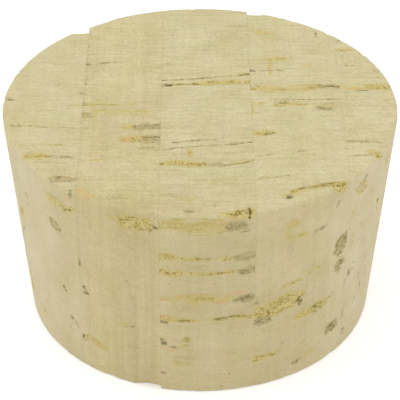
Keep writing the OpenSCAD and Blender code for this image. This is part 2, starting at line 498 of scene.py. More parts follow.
draw(here, "grey", top, [
    (0.8, 0.45, (-7.0, 7.6), (0.0, 8.4), (4.0, 8.9), (9.0, 9.8)),
    (0.75, 0.45, (-6.4, -14.4), (0.0, -13.3), (3.2, -12.9), (9.0, -12.2)),
    (0.65, 0.45, (-3.8, -12.2), (4.2, -11.0)),
    (0.75, 1.0, (1.4, -18.9), (4.2, -19.1)),
])
draw(here, "dark", top, [
    (0.28, 0.4, (-7.0, 7.6), (0.0, 8.4), (4.0, 8.9)),
    (0.4, 0.5, (4.2, 9.0), (9.0, 9.8)),
    (0.85, 1.0, (-7.0, 6.1), (-5.2, 6.2)),
    (0.4, 0.4, (-5.4, 6.2), (0.5, 6.7)),
    (0.3, 0.5, (-7.0, 13.1), (-5.0, 13.2)),
    (0.15, 0.4, (-7.0, 18.3), (3.0, 18.1)),
    (0.3, 0.4, (5.0, 26.5), (9.0, 26.8)),
    (0.28, 0.45, (2.6, -13.0), (9.0, -12.2)),
    (0.2, 0.4, (-1.0, -11.8), (4.2, -11.0)),
    (0.42, 0.8, (-4.3, -12.3), (-3.7, -12.3)),
    (0.35, 0.4, (-5.0, -18.6), (0.0, -18.7)),
    (0.55, 0.5, (4.0, -19.2), (9.0, -17.4)),
    (0.75, 0.7, (-2.5, -32.2), (-1.2, -32.4)),
    # Painted shade in the chip at the front rim: a faint brown in the pore and a dark line on its right-hand
    # wall.
    (0.16, 1.5, (5.6, -32.8), (7.6, -32.4)),
    (1.35, 0.55, (7.75, -31.2), (7.8, -32.6)),
])
draw(here, "ochre", side, [
    (0.72, 2.5, (-12.6, 36.2), (-2.0, 36.4), (8.2, 36.3)),
    (0.32, 0.7, (-10.6, 31.3), (-8.4, 31.0)),
    (0.9, 1.3, (-12.8, 29.7), (-6.6, 29.5)),
    (1.5, 0.75, (-7.0, 29.5), (10.2, 29.5)),
    (0.95, 1.3, (-12.8, 26.4), (-4.4, 26.3)),
    (1.2, 0.65, (-4.6, 26.2), (6.6, 26.3)),
    (0.9, 0.9, (6.4, 26.4), (11.4, 26.4)),
    (0.72, 1.9, (-6.8, 20.9), (9.4, 21.1)),
    (0.6, 1.0, (-12.8, 20.6), (-6.0, 20.6)),
    (0.85, 1.1, (-12.6, 16.5), (-2.0, 16.3)),
    (0.45, 0.7, (-2.2, 16.3), (10.0, 16.6)),
    (0.95, 1.2, (8.6, 16.8), (16.8, 16.2)),
    (0.45, 1.3, (-4.8, 10.8), (-4.2, 12.6)),
    (0.65, 0.9, (-9.2, 6.5), (-2.3, 6.5)),
])
draw(here, "rust", side, [
    (0.6, 1.0, (6.4, 37.0), (10.0, 37.0)),
    (0.75, 0.6, (-7.0, 21.7), (9.0, 21.8)),
    (0.75, 0.6, (-12.6, 20.3), (9.0, 20.3)),
    (0.45, 0.8, (3.0, 22.0), (14.0, 22.0)),
    (0.7, 0.8, (-12.2, 16.9), (-7.6, 16.7)),
    (0.75, 0.9, (-12.4, 9.7), (-8.2, 9.6)),
])
draw(here, "grey", side, [
    (0.9, 1.9, (8.4, 35.9), (11.4, 35.8)),
    (0.9, 1.4, (10.2, 29.3), (15.6, 29.8)),
    (0.85, 1.4, (11.2, 26.3), (15.8, 26.6)),
    (0.95, 1.3, (10.2, 20.4), (16.4, 20.4)),
    (0.2, 0.9, (7.0, 2.1), (7.1, 1.3)),
])
draw(here, "dark", side, [
    # Painted shade: a dark line down the right-hand wall of the same chip, on the side.
    (1.0, 0.4, (13.2, 38.5), (13.1, 37.3)),
    (0.62, 0.4, (0.0, 29.5), (2.4, 29.5)),
    (0.26, 0.35, (-12.8, 29.5), (10.2, 29.5)),
    (0.55, 0.4, (4.0, 26.2), (6.6, 26.3)),
    (0.3, 0.35, (-12.8, 26.3), (11.0, 26.3)),
    (0.52, 0.6, (11.6, 20.5), (16.6, 20.6)),
    (0.5, 0.6, (-12.8, 15.5), (-10.5, 15.5)),
    (0.46, 0.6, (-6.8, 16.0), (-2.5, 16.1)),
    (0.52, 0.6, (4.2, 16.6), (10.2, 16.7)),
    (0.26, 0.7, (9.6, 16.7), (14.4, 16.4)),
    (0.48, 1.3, (-11.6, 11.2), (-11.0, 10.8)),
    (0.38, 0.5, (-10.6, 10.1), (-6.8, 10.0)),
    (0.3, 0.8, (-4.8, 10.9), (-4.3, 12.3)),
    (0.45, 0.6, (-12.9, 4.0), (-11.6, 4.0)),
])

# %% [markdown]
# ### Marks of the right strip
# The largest pore of all lies here, low on the front: a slanted bar of loose crumbs with a dark end. On
# the top a crack runs to the rim from a dark pit. Near the right-hand glue line the channels have turned
# far enough to be cut end-on, as grey spongy ovals.

# %% Right strip
here = marks["right_strip"]
draw(here, "ochre", top, [
    (0.6, 1.2, (10.4, 24.3), (13.4, 24.0)),
    (0.3, 1.1, (13.0, 27.9), (17.0, 26.7)),
    (0.7, 1.1, (10.2, 14.8), (15.6, 15.1)),
    (0.35, 1.0, (18.2, 12.3), (19.6, 12.8)),
    (0.62, 0.8, (12.3, 14.6), (12.2, 9.5)),
    (0.8, 1.7, (8.2, 4.9), (11.6, 4.5), (14.6, 4.8), (17.2, 4.8), (21.4, 5.7)),
    (0.85, 1.2, (12.3, -0.3), (17.8, -0.3)),
    (0.4, 1.7, (18.2, -0.5), (23.0, -1.2)),
    (0.55, 0.9, (8.4, -0.2), (11.2, 0.0)),
    (0.5, 0.7, (8.9, 0.9), (8.9, -2.8), (10.2, -2.7)),
    (1.0, 1.5, (8.0, -9.5), (12.0, -9.2)),
    (0.4, 0.6, (12.0, -9.3), (14.2, -9.7)),
    (0.25, 0.8, (9.4, -22.9), (14.0, -22.1)),
    (0.5, 1.4, (13.2, -27.9), (15.2, -27.2)),
    (1.1, 1.0, (14.0, -27.0), (18.0, -25.6), (22.6, -24.2)),
    (1.3, 1.9, (21.8, -25.0), (22.8, -24.7)),
])
draw(here, "rust", top, [
    (0.5, 0.9, (11.0, 24.1), (13.2, 24.1)),
    (0.5, 0.6, (12.3, 13.6), (12.2, 9.3)),
    (0.35, 0.8, (13.0, -0.5), (17.0, -0.4)),
])
draw(here, "grey", top, [
    (0.8, 0.45, (9.5, 10.9), (14.8, 10.9)),
    (0.7, 1.5, (21.2, 5.5), (24.4, 5.3)),
    (0.8, 1.7, (20.5, -1.3), (21.8, -1.8)),
    (0.6, 0.4, (8.6, -16.6), (12.8, -15.5)),
    (0.8, 0.45, (8.6, -23.1), (11.9, -22.6), (14.8, -22.0)),
    (0.15, 0.9, (17.0, -3.1), (17.4, -5.3)),
])
draw(here, "dark", top, [
    (0.95, 0.4, (20.9, 24.7), (20.8, 22.8)),
    (0.34, 0.4, (8.6, 14.6), (16.2, 15.3)),
    (0.9, 0.7, (8.4, 10.9), (9.7, 10.9)),
    (0.3, 0.4, (9.5, 10.9), (14.8, 10.9)),
    (0.45, 0.5, (8.2, 5.6), (10.2, 5.4)),
    (0.5, 0.4, (14.0, 5.1), (17.6, 5.3), (21.2, 6.1)),
    (0.4, 0.4, (20.4, 6.1), (24.2, 5.0)),
    (0.45, 0.35, (12.6, 1.3), (18.0, 1.2), (24.2, 1.4)),
    (0.35, 0.35, (12.4, 0.5), (17.0, 0.4)),
    (0.55, 0.35, (17.6, -0.1), (23.4, 0.2)),
    (0.4, 0.6, (20.5, -1.5), (21.7, -1.8)),
    (0.2, 0.5, (16.9, -2.8), (16.6, -5.4)),
    (0.22, 0.35, (8.6, -2.2), (20.5, -2.5)),
    (0.6, 0.7, (10.9, -9.2), (12.1, -9.2)),
    (0.8, 0.5, (15.9, -14.9), (17.5, -14.8)),
    (0.25, 0.4, (10.6, -22.8), (14.8, -22.0)),
    (1.1, 0.5, (14.0, -27.9), (14.4, -27.8)),
    (0.6, 0.5, (13.5, -28.6), (13.9, -28.5)),
    (0.42, 0.45, (14.2, -26.4), (18.0, -25.3), (22.0, -24.0)),
    (0.45, 0.9, (21.9, -25.0), (22.7, -24.8)),
])
draw(here, "ochre", side, [
    (1.2, 1.7, (41.6, 38.2), (43.2, 37.7)),
    (1.5, 2.9, (10.0, 15.0), (16.5, 16.1), (25.0, 17.5), (31.4, 18.6)),
    (0.55, 0.8, (24.2, 21.1), (30.8, 21.7)),
    (0.85, 1.9, (31.6, 13.6), (36.4, 13.7)),
    (0.8, 1.9, (36.0, 13.7), (41.0, 14.0)),
    (0.7, 1.5, (24.8, 34.1), (27.6, 34.3)),
    (0.6, 0.9, (24.8, 33.6), (25.0, 31.8)),
    (0.65, 1.2, (25.6, 31.4), (31.0, 31.3)),
    (0.4, 0.9, (32.8, 22.6), (37.2, 23.0)),
    (1.0, 1.4, (16.6, 6.3), (24.2, 6.8)),
    (0.5, 1.2, (36.3, 3.9), (39.2, 3.9)),
])
draw(here, "rust", side, [
    (0.4, 0.9, (25.2, 34.6), (27.2, 34.6)),
])
draw(here, "grey", side, [
    (0.85, 1.3, (16.6, 14.6), (20.4, 14.8)),
    (0.25, 0.7, (26.0, 8.6), (27.2, 8.6)),
    (0.95, 2.5, (45.2, 24.3), (46.8, 26.0)),
    (0.85, 2.0, (46.0, 20.3), (46.5, 21.2)),
    (1.2, 1.9, (45.0, 6.9), (47.8, 6.9)),
    (0.35, 0.8, (42.2, 14.2), (44.6, 14.8)),
])
draw(here, "dark", side, [
    (0.28, 0.6, (17.0, 14.6), (20.0, 14.9)),
    (0.8, 0.9, (30.8, 17.6), (31.3, 16.3)),
    (0.35, 0.35, (24.5, 21.0), (30.0, 21.6)),
    (0.4, 1.4, (37.0, 13.4), (40.8, 13.9)),
    (0.4, 0.5, (33.2, 30.8), (39.2, 31.5)),
    (0.6, 0.7, (30.2, 2.7), (34.0, 3.1)),
    (0.25, 0.7, (17.1, 20.0), (16.8, 18.7)),
    (0.32, 1.5, (45.2, 6.9), (47.6, 6.9)),
    (0.36, 0.8, (41.6, 34.5), (42.4, 34.9)),
])
draw(here, "dark", ring, [
    (0.26, 0.7, 46.1, 25.2, 2.4, 3.6, -18),
    (0.24, 0.6, 46.3, 20.7, 1.3, 2.0, -15),
])

# %% [markdown]
# ### Marks of the right end strip
# A band of ochre runs out to the right-hand rim on the top, and the outer side is dotted with small spots.

# %% Right end strip
here = marks["right_end_strip"]
draw(here, "ochre", top, [
    (0.65, 1.0, (23.4, 18.2), (27.6, 18.1)),
    (0.3, 0.5, (25.0, 10.9), (31.6, 10.9)),
    (0.55, 1.5, (23.4, 5.2), (29.2, 5.2)),
    (0.95, 1.6, (28.6, 5.4), (33.4, 5.4)),
    (0.42, 0.8, (23.8, -12.0), (30.3, -12.5)),
    (0.9, 1.6, (28.0, -15.5), (29.8, -16.2)),
])
draw(here, "rust", top, [
    (0.4, 1.0, (25.0, 4.8), (28.6, 4.8)),
])
draw(here, "grey", top, [
    (0.6, 0.4, (25.2, 12.5), (28.6, 12.6)),
    (0.3, 0.9, (25.8, 0.7), (28.7, 0.5)),
    (0.75, 0.45, (23.4, -11.9), (30.5, -12.5)),
    (0.5, 0.6, (24.3, -16.5), (28.2, -16.3)),
])
draw(here, "dark", top, [
    (0.4, 0.4, (23.6, 18.0), (27.0, 18.0)),
    (0.3, 0.9, (24.5, 21.3), (25.5, 21.1)),
    (0.6, 0.5, (30.6, 10.8), (31.7, 10.8)),
    (0.52, 0.5, (24.8, 4.0), (29.4, 4.0)),
])
draw(here, "ochre", side, [
    (0.35, 0.9, (49.0, 30.9), (49.3, 30.0)),
    (0.45, 1.2, (50.2, 15.6), (50.6, 14.2)),
    (0.4, 0.7, (65.8, 28.2), (66.8, 25.4)),
])
draw(here, "grey", side, [
    (0.55, 1.0, (53.2, 35.8), (54.0, 36.5)),
    (0.3, 0.8, (58.8, 32.9), (59.4, 31.5)),
])
draw(here, "dark", side, [
    (0.34, 0.9, (52.3, 34.7), (52.8, 34.9)),
    (0.52, 0.7, (52.2, 17.9), (52.0, 16.6)),
    (0.42, 0.7, (54.3, 18.5), (53.9, 17.4)),
    (0.34, 0.6, (59.5, 14.9), (59.1, 13.5)),
    (0.34, 0.6, (62.5, 16.9), (62.3, 15.6)),
    (0.28, 0.6, (65.6, 13.2), (65.4, 12.0)),
    (0.42, 0.6, (61.2, 12.8), (61.9, 9.9)),
    (0.34, 0.6, (50.2, 15.4), (50.5, 14.3)),
    (0.36, 0.6, (58.6, 9.6), (59.3, 7.8)),
    (0.42, 0.8, (51.3, 8.5), (51.5, 7.6)),
    (0.5, 0.7, (53.8, 3.9), (54.1, 2.9)),
    (0.26, 0.5, (65.8, 28.2), (66.8, 25.4)),
])
draw(here, "ochre", ring, [
    (0.7, 1.0, 52.6, 34.8, 2.2, 1.8, 0),
    (0.32, 0.7, 53.4, 24.9, 2.6, 4.2, -15),
])
print("marks read from the stopper:", sum(len(rows) for rows in marks.values()))

# %% [markdown]
# ### Marks of the hidden sides
# The back and the underside have the same bark, so each strip gets more marks there from a seeded random
# generator, of the same kinds and sizes.

# %% Marks on the back and the underside
HIDDEN_SEED = 7
UNSEEN_FROM = 68
MARKS_PER_DEGREE = 0.55
UNDER_MARKS = 14
KINDS = ["ochre", "grey", "dark", "rust"]
KIND_SHARES = [0.5, 0.15, 0.3, 0.05]
TYPICAL_WIDTH = {"ochre": 1.1, "grey": 1.0, "dark": 0.5, "rust": 0.8}
STRENGTHS = (0.25, 1.0)
WIDTH_FACTORS = (0.6, 1.6)
HALF_LENGTHS = (0.8, 5.0)
RIM_MARGIN = 1.5
LEAST_SPREAD = 0.4
LEAST_RISE = 0.1
RISE_SHARE = 0.25
UNDER_REACH = 0.9
UNDER_SLANT = 0.3
LEAST_SQUARE = 1.0

glue_angles = [180 - math.degrees(math.asin(x / side_radius(HEIGHT / 2))) for x in GLUE_X]
back_edges = [360 - UNSEEN_FROM, *glue_angles, UNSEEN_FROM]


def hidden_marks(name, rng):
    """Random dashes along x on the back of a strip and underneath it. On the side, a dash of half length h
    keeps h times the cosine squared of its angle and rises by a share of h times the sine squared, so that
    towards the two ends the dashes turn into upright spots."""
    low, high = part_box(name)
    left, right = low.x / MM, high.x / MM
    index = STRIPS.index(name)
    most, least = back_edges[index : index + 2]
    back_marks = round(MARKS_PER_DEGREE * (most - least))
    rows = []
    for number in range(back_marks + UNDER_MARKS):
        kind = str(rng.choice(KINDS, p=KIND_SHARES))
        strength = rng.uniform(*STRENGTHS)
        width = TYPICAL_WIDTH[kind] * rng.uniform(*WIDTH_FACTORS)
        half = rng.uniform(*HALF_LENGTHS)
        if number < back_marks:
            z = rng.uniform(RIM_MARGIN, HEIGHT - RIM_MARGIN)
            angle = rng.uniform(least, most)
            level = math.cos(math.radians(angle)) ** 2
            spread = LEAST_SPREAD + math.degrees(half * level / side_radius(z))
            rise = LEAST_RISE + RISE_SHARE * half * (1 - level)
            path = side((angle - spread, z - rise), (angle + spread, z + rise))
        else:
            x = rng.uniform(left, right)
            chord = math.sqrt(max(BOTTOM_R**2 - x**2, LEAST_SQUARE))
            y = rng.uniform(-UNDER_REACH, UNDER_REACH) * chord
            slant = rng.uniform(-UNDER_SLANT, UNDER_SLANT)
            path = np.array([(x - half, y, 0.0), (x + half, y + slant, 0.0)])
        rows.append((kind, strength, width, path))
    return rows


rng = np.random.default_rng(HIDDEN_SEED)
for name in STRIPS:
    marks[name] += hidden_marks(name, rng)
print("marks with the hidden sides:", sum(len(rows) for rows in marks.values()))

# %% [markdown]
# ## Fields over the points
# Each kind of mark becomes one number at each point. Points near a path are the only ones that matter,
# so the rest are skipped. The paths' ends taper to a little under half of the width.

# %% From paths to fields
NARROW_END = 0.45
SPOT_UP_TO = 1
DASH_FROM = 4
SOFT_EDGE = 0.74
NEAR_MARGIN = 0.4
WANDERS = [(2.6, 0.22, 11), (0.9, 0.11, 23), (0.4, 0.06, 37)]


def mark_field(points, path, width):
    """1 on the path, 0 at its edge, -1 far off: one less the square of the distance to the nearest piece
    of the path over its reach there. Towards both ends of a long path the reach falls with the fourth
    power of the place along it. A path shorter than its width stays a round spot."""
    field = np.full(len(points), -1.0)
    reach = width + NEAR_MARGIN
    near = np.all((points > path.min(0) - reach) & (points < path.max(0) + reach), axis=1)
    close = points[near]
    lengths = np.linalg.norm(np.diff(path, axis=0), axis=1)
    starts = np.concatenate([[0], np.cumsum(lengths)])
    narrow = (1 - NARROW_END) * smooth_step(SPOT_UP_TO, DASH_FROM, starts[-1] / width)
    best = np.full(len(close), -1.0)
    for begin, end, length, start in zip(path[:-1], path[1:], lengths, starts):
        share = np.clip((close - begin) @ (end - begin) / length**2, 0, 1)
        off = np.linalg.norm(close - begin - share[:, None] * (end - begin), axis=1)
        along = 2 * (start + share * length) / starts[-1] - 1
        half = SOFT_EDGE * width * (1 - narrow * along**4)
        best = np.maximum(best, 1 - (off / half) ** 2)
    field[near] = best
    return field


def strip_fields(name):
    """The strongest mark of each kind at each point of a strip. The paths are met on points that wander,
    first over large sizes and then over small ones."""
    points = smooth[name]
    for size, amount, seed in WANDERS:
        points = wander(points, size, amount, seed)
    fields = {kind: np.full(len(points), -1.0) for kind in KINDS}
    for kind, strength, width, path in marks[name]:
        field = mark_field(points, path, width)
        fields[kind] = np.maximum(fields[kind], np.where(field > 0, strength * field, field))
    return fields


fields = {name: strip_fields(name) for name in STRIPS}
for name in STRIPS:
    print(name, {kind: int((fields[name][kind] > 0).sum()) for kind in KINDS}, "points inside marks")

# %% [markdown]
# The solids have hollows on the back and underneath as well. Their floors are filled too: mostly with
# ochre crumbs, and here and there with grey ones, chosen by a slow random field. Chips in the rims stay
# clean cork.

# %% Colour the pores of the back and the underside
PORE_SHALLOW = 0.03
PORE_FULL = 0.16
GREY_SIZE = 7.0
GREY_BELOW = -0.35
FACE_BAND = 0.5
FILL_GAIN = 1.6
FILL_START = -0.6


def fill_pores(name):
    """Ochre or grey in every unseen hollow that isn't at a rim, stronger where it is deeper."""
    x, y, z = smooth[name].T
    depth = np.linalg.norm(hollow[name], axis=1)
    filled = smooth_step(PORE_SHALLOW, PORE_FULL, depth) * off_rim[name]
    ochre = value_noise(smooth[name], GREY_SIZE, SEEDS["grey"]) > GREY_BELOW
    unseen = ((y > 0) & (z < HEIGHT - FACE_BAND)) | (z < FACE_BAND)
    for kind, here in (("ochre", ochre & unseen), ("grey", ~ochre & unseen)):
        field = fields[name][kind]
        fields[name][kind] = np.where(here, np.maximum(field, FILL_GAIN * filled + FILL_START), field)


for name in STRIPS:
    fill_pores(name)

# %% [markdown]
# ## Relief
# The points now sink. Hollows of the solids come first. Marks add their own shallow recess with crumbs in
# it, glue lines get a fine groove, and the whole skin gets a trace of roughness. Points sink towards the
# nearest point of a core that lies a few millimetres inside, so that the rims don't fold over themselves.
# Points on a glue plane stay in it, because the strips are glued face to face.

# %% Sink the points
CORE_DEPTH = 4.0
RECESS = {"ochre": 0.06, "grey": 0.04, "dark": 0.14, "rust": 0.02}
CRUMB = {"ochre": 0.07, "grey": 0.05, "dark": 0.03, "rust": 0.02}
CRUMB_SIZE = 0.42
FINE_CRUMBS = 0.6
FULL_RECESS = 0.5
GROOVE_WIDTH = 0.25
GROOVE_DEPTH = 0.01
SKIN_ROUGH = 0.014
FINE_SKIN = 0.5
COARSE_SKIN = 1.7
WEAR_BAND = 2.2
WEAR_LEAST = 0.02
WEAR_MOST = 0.14
WEAR_ANGLE = -25
WEAR_SPREAD = 45
WEAR_UNEVEN = 0.5
WEAR_SIZE = 5.0
RAGGED_BAND = 0.9
RAGGED_DEPTH = 0.16
BITE_SIZE = 1.3
BITE_ABOVE = 0.15
ON_GLUE = 1e-3
NEAR_ZERO = 1e-6


def inward(points):
    """Unit steps from each point to the nearest point of the block shrunk by the core depth."""
    x, y, z = points.T
    r = np.maximum(np.hypot(x, y), NEAR_ZERO)
    core_z = np.clip(z, CORE_DEPTH, HEIGHT - CORE_DEPTH)
    core_r = np.minimum(r, side_radius(core_z) - CORE_DEPTH)
    step = np.stack([x / r * (core_r - r), y / r * (core_r - r), core_z - z], axis=1)
    return step / np.linalg.norm(step, axis=1, keepdims=True)


def glue_distance(points):
    """Distance along x to the nearest glue plane."""
    return np.min([np.abs(points[:, 0] - x) for x in GLUE_X], axis=0)


def most_handled(points, middle, spread):
    """1 at an angle round the top rim, falling off like a bell curve of this spread on both sides."""
    x, y, z = points.T
    angle = np.degrees(np.arctan2(x, -y))
    return np.exp(-(((angle - middle) / spread) ** 2)) * (z > HEIGHT / 2)


def rim_wear(points):
    """How far the rims are rubbed down. Wear fades over a band from the edge, and small ragged bites come
    from noise above a threshold."""
    off = from_edge(points)
    rubbed = WEAR_LEAST + (WEAR_MOST - WEAR_LEAST) * most_handled(points, WEAR_ANGLE, WEAR_SPREAD)
    rubbed *= 1 + WEAR_UNEVEN * value_noise(points, WEAR_SIZE, SEEDS["wear"])
    bites = np.maximum(value_noise(points, BITE_SIZE, SEEDS["bites"]) - BITE_ABOVE, 0) * RAGGED_DEPTH
    return rubbed * (1 - smooth_step(0, WEAR_BAND, off)) + bites * (1 - smooth_step(0, RAGGED_BAND, off))


def relief(name):
    """The strip's points after sinking: hollow, each mark's recess and crumbs, groove, wear and skin."""
    points = smooth[name]
    crumbs = value_noise(points, CRUMB_SIZE, SEEDS["crumbs"])
    crumbs += FINE_CRUMBS * value_noise(points, CRUMB_SIZE / 2, SEEDS["fine_crumbs"])
    skin = value_noise(points, FINE_SKIN, SEEDS["skin"])
    skin += value_noise(points, COARSE_SKIN, SEEDS["coarse_skin"])
    sink = SKIN_ROUGH * skin
    for kind in KINDS:
        inside = smooth_step(0.0, FULL_RECESS, fields[name][kind])
        sink += inside * (RECESS[kind] + CRUMB[kind] * crumbs)
    apart = glue_distance(points)
    sink += GROOVE_DEPTH * (1 - smooth_step(0.0, GROOVE_WIDTH, apart)) + rim_wear(points)
    moved = hollow[name] + np.maximum(sink, 0)[:, None] * inward(points)
    moved[apart < ON_GLUE, 0] = 0
    return np.clip(points + moved, np.array(cad_low) / MM, np.array(cad_high) / MM)


SHARP_ANGLE = math.radians(55)
for name in STRIPS:
    mesh = pieces[name].data
    mesh.vertices.foreach_set("co", (relief(name) * MM).astype(np.float32).ravel())
    mesh.polygons.foreach_set("use_smooth", np.ones(len(mesh.polygons), bool))
    mesh.set_sharp_from_angle(angle=SHARP_ANGLE)
    mesh.update()
print("triangles:", {name: sum(len(p.vertices) - 2 for p in pieces[name].data.polygons) for name in STRIPS})

# %% [markdown]
# ## Numbers for the material
# The material needs to know, at each point, which marks it is in, how near a glue line it is, whether it
# is on the turned side or on a sanded face, how far the side faces left or right, where a paler tone paints
# a sheen, and where the top is darker near the front-left rim. Broad patches, a little darker or paler and
# ending at a glue line, add to that darkening. All of these go into the mesh as attributes. A texture could
# hold them as well, but attributes need no unwrapping.

# %% Store attributes
GLUE_SEEN = 1.0
DARKENING_BAND = 12.0
DARKENING_ANGLE = -8
DARKENING_SPREAD = 28
TURNED_FROM = 0.05
TURNED_FULL = 0.8
SHEEN_FROM = 0.45
SHEEN_FULL = 0.98
PATCHES = {
    "left_strip": [
        (0.45, 8.0, top((-14.5, -3.0), (-13.5, -13.0))),
        (-1.0, 7.0, top((-17.0, 24.0), (-9.0, 28.0))),
    ],
    "centre_strip": [
        (1.3, 13.0, side((7.0, 29.0), (9.0, 20.0))),
        (-1.0, 7.0, top((-5.0, 11.5), (5.0, 12.0))),
    ],
    "right_strip": [(1.3, 6.0, side((35.5, 21.0), (36.0, 15.5)))],
}


def patchy(name):
    """How much darker the broad patches are: each one's strength times its mark field inside it."""
    total = np.zeros(len(smooth[name]))
    for strength, width, path in PATCHES.get(name, []):
        total += strength * np.maximum(mark_field(smooth[name], path, width), 0)
    return total


def store(mesh, label, values):
    """One number at each point of the mesh, under this label."""
    layer = mesh.attributes.new(label, "FLOAT", "POINT")
    layer.data.foreach_set("value", values.astype(np.float32))


for name in STRIPS:
    mesh = pieces[name].data
    points = smooth[name]
    x, y, z = points.T
    turned = smooth_step(TURNED_FROM, TURNED_FULL, np.minimum(z, HEIGHT - z))
    for kind in KINDS:
        store(mesh, kind, fields[name][kind])
    store(mesh, "glue", np.minimum(glue_distance(points), GLUE_SEEN))
    store(mesh, "turned", turned)
    # Darker on the top near the front-left rim, and broad patches that are darker or paler.
    near_rim = 1 - smooth_step(0, DARKENING_BAND, from_edge(points))
    rim_darkening = most_handled(points, DARKENING_ANGLE, DARKENING_SPREAD) * near_rim * (1 - turned)
    store(mesh, "darkening", rim_darkening + patchy(name))
    # How far the side faces left or right: there a paler tone paints a sheen.
    sideways = np.abs(x) / np.maximum(np.hypot(x, y), NEAR_ZERO)
    store(mesh, "side_sheen", turned * smooth_step(SHEEN_FROM, SHEEN_FULL, sideways))
print("attributes:", [a.name for a in pieces["centre_strip"].data.attributes])

# %% [markdown]
# ## A map for baking
# Whoever bakes the material to a picture needs the surface laid flat. Each strip is simple enough to lay
# out: its top, bottom and sides next to each other on a square sheet, all at one scale, with the
# hidden glued faces small in a corner.

# %% Lay the strips flat
SHEET = 82.0
GAP = 1.0
CAP_SCALE = 0.3
FACE_SKIN = 0.03
QUAD = 4
BAKE_MAP = "OFBake"


def lay_flat(name):
    """Each corner's place on the sheet: straight projections of the panels, the end strips' outer side by
    its arc length."""
    mesh = pieces[name].data
    count = len(mesh.polygons)
    sizes = np.empty(count, np.int32)
    mesh.polygons.foreach_get("loop_total", sizes)
    corner = np.empty(len(mesh.loops), np.int32)
    mesh.loops.foreach_get("vertex_index", corner)
    face = np.repeat(np.arange(count), sizes)
    x, y, z = smooth[name][corner].T
    first = np.concatenate([[0], np.cumsum(sizes)[:-1]])
    middle = np.add.reduceat(smooth[name][corner], first) / sizes[:, None]
    cap = sizes > QUAD
    up = ~cap & (middle[:, 2] > HEIGHT - FACE_SKIN)
    down = ~cap & (middle[:, 2] < FACE_SKIN)
    outer = ~cap & ~up & ~down
    low, high = smooth[name].min(0), smooth[name].max(0)
    wide = high[0] - low[0] + GAP
    uv = np.zeros((len(corner), 2))

    def place(faces, u, v):
        here = faces[face]
        uv[here, 0] = u[here]
        uv[here, 1] = v[here]

    if name in STRIPS[1:4]:
        front = outer & (middle[:, 1] < 0)
        back = outer & (middle[:, 1] >= 0)
        place(up, x - low[0], y + TOP_R)
        place(down, x - low[0] + wide, y + TOP_R)
        place(front, x - low[0] + 2 * wide, z)
        place(back, x - low[0] + 3 * wide, z)
    else:
        inner = np.abs(x) - np.abs(x).min()
        arc = TOP_R * np.arctan2(y, np.abs(x))
        place(outer, arc - arc.min(), z)
        place(up, y - low[1], inner + HEIGHT + 2 * GAP)
        place(down, y - low[1], inner + HEIGHT + wide + 3 * GAP)
    side_by_side = np.where(middle[:, 0][face] > (low[0] + high[0]) / 2, SHEET / 2, 0.0)
    place(cap, CAP_SCALE * (y - low[1]) + side_by_side, CAP_SCALE * z + 2 * TOP_R + GAP)
    layer = mesh.uv_layers.new(name=BAKE_MAP)
    layer.uv.foreach_set("vector", ((uv + GAP / 2) / SHEET).astype(np.float32).ravel())
    return uv.max(0)


for name in STRIPS:
    print(name, "laid flat over", lay_flat(name).round(1), "mm of a sheet of", SHEET)

# %% [markdown]
# ## The material
# Two effects make cork: the tissue itself, and what fills its pores. Both are shader node groups, so the
# five strips share them and differ only in the values that each material sets. Colours are written as they
# would be picked on a screen and turned into the linear values that Blender works with.

# %% Helpers for node trees
NODE_WIDE = 190
NODE_TALL = 260
NODES_IN_ROW = 9
NOISE_MIDDLE = 0.5


def screen(red, green, blue):
    """A screen colour, 0 to 255, as linear light: ((c + 0.055) / 1.055) to the power 2.4."""
    parts = [((c / 255 + 0.055) / 1.055) ** 2.4 for c in (red, green, blue)]
    return (*parts, 1.0)


def add(tree, kind, settings=None, **sockets):
    """A new shader node. settings are its own options. Each keyword is a socket, given a value or fed."""
    made = tree.nodes.new("ShaderNode" + kind)
    place = len(tree.nodes)
    made.location = (NODE_WIDE * (place % NODES_IN_ROW), -NODE_TALL * (place // NODES_IN_ROW))
    for option, value in (settings or {}).items():
        setattr(made, option, value)
    for label, value in sockets.items():
        feed(tree, made.inputs[label.replace("_", " ")], value)
    return made


def feed(tree, socket, value):
    """Links an output to a socket, or sets the socket's value."""
    if isinstance(value, bpy.types.NodeSocket):
        tree.links.new(value, socket)
    else:
        socket.default_value = value


def sums(tree, operation, *values):
    """A Math node's result."""
    made = add(tree, "Math", {"operation": operation})
    for socket, value in zip(made.inputs, values):
        feed(tree, socket, value)
    return made.outputs[0]


def weighed(tree, start, *rows):
    """start plus each field times its weight."""
    for field, weight in rows:
        start = sums(tree, "MULTIPLY_ADD", field, weight, start)
    return start


def blend(tree, share, below, above, way="MIX"):
    """A colour Mix node's result."""
    made = add(tree, "Mix", {"data_type": "RGBA", "blend_type": way})
    for number, value in ((0, share), (6, below), (7, above)):
        feed(tree, made.inputs[number], value)
    return made.outputs[2]


def soft_edge(tree, value, low, high):
    """0 below low, 1 above high, smooth between."""
    return add(tree, "MapRange", {"interpolation_type": "SMOOTHSTEP"},
               Value=value, From_Min=low, From_Max=high).outputs[0]


def attribute(tree, label):
    """The mesh's own number under this label."""
    return add(tree, "Attribute", {"attribute_name": label}).outputs["Fac"]


def stretched_noise(tree, scale, detail, roughness=0.5):
    """Noise on the piece's own coordinates, with its own number of waves per metre along x, y and z."""
    where = add(tree, "TexCoord").outputs["Object"]
    mapped = add(tree, "Mapping", Vector=where, Scale=scale).outputs[0]
    noise = add(tree, "TexNoise", Vector=mapped, Scale=1.0, Detail=detail, Roughness=roughness)
    return sums(tree, "SUBTRACT", noise.outputs[0], NOISE_MIDDLE)


def crumb_cells(tree, per_metre):
    """Voronoi cells on the piece's own coordinates."""
    where = add(tree, "TexCoord").outputs["Object"]
    return add(tree, "TexVoronoi", Vector=where, Scale=per_metre, Randomness=1.0).outputs


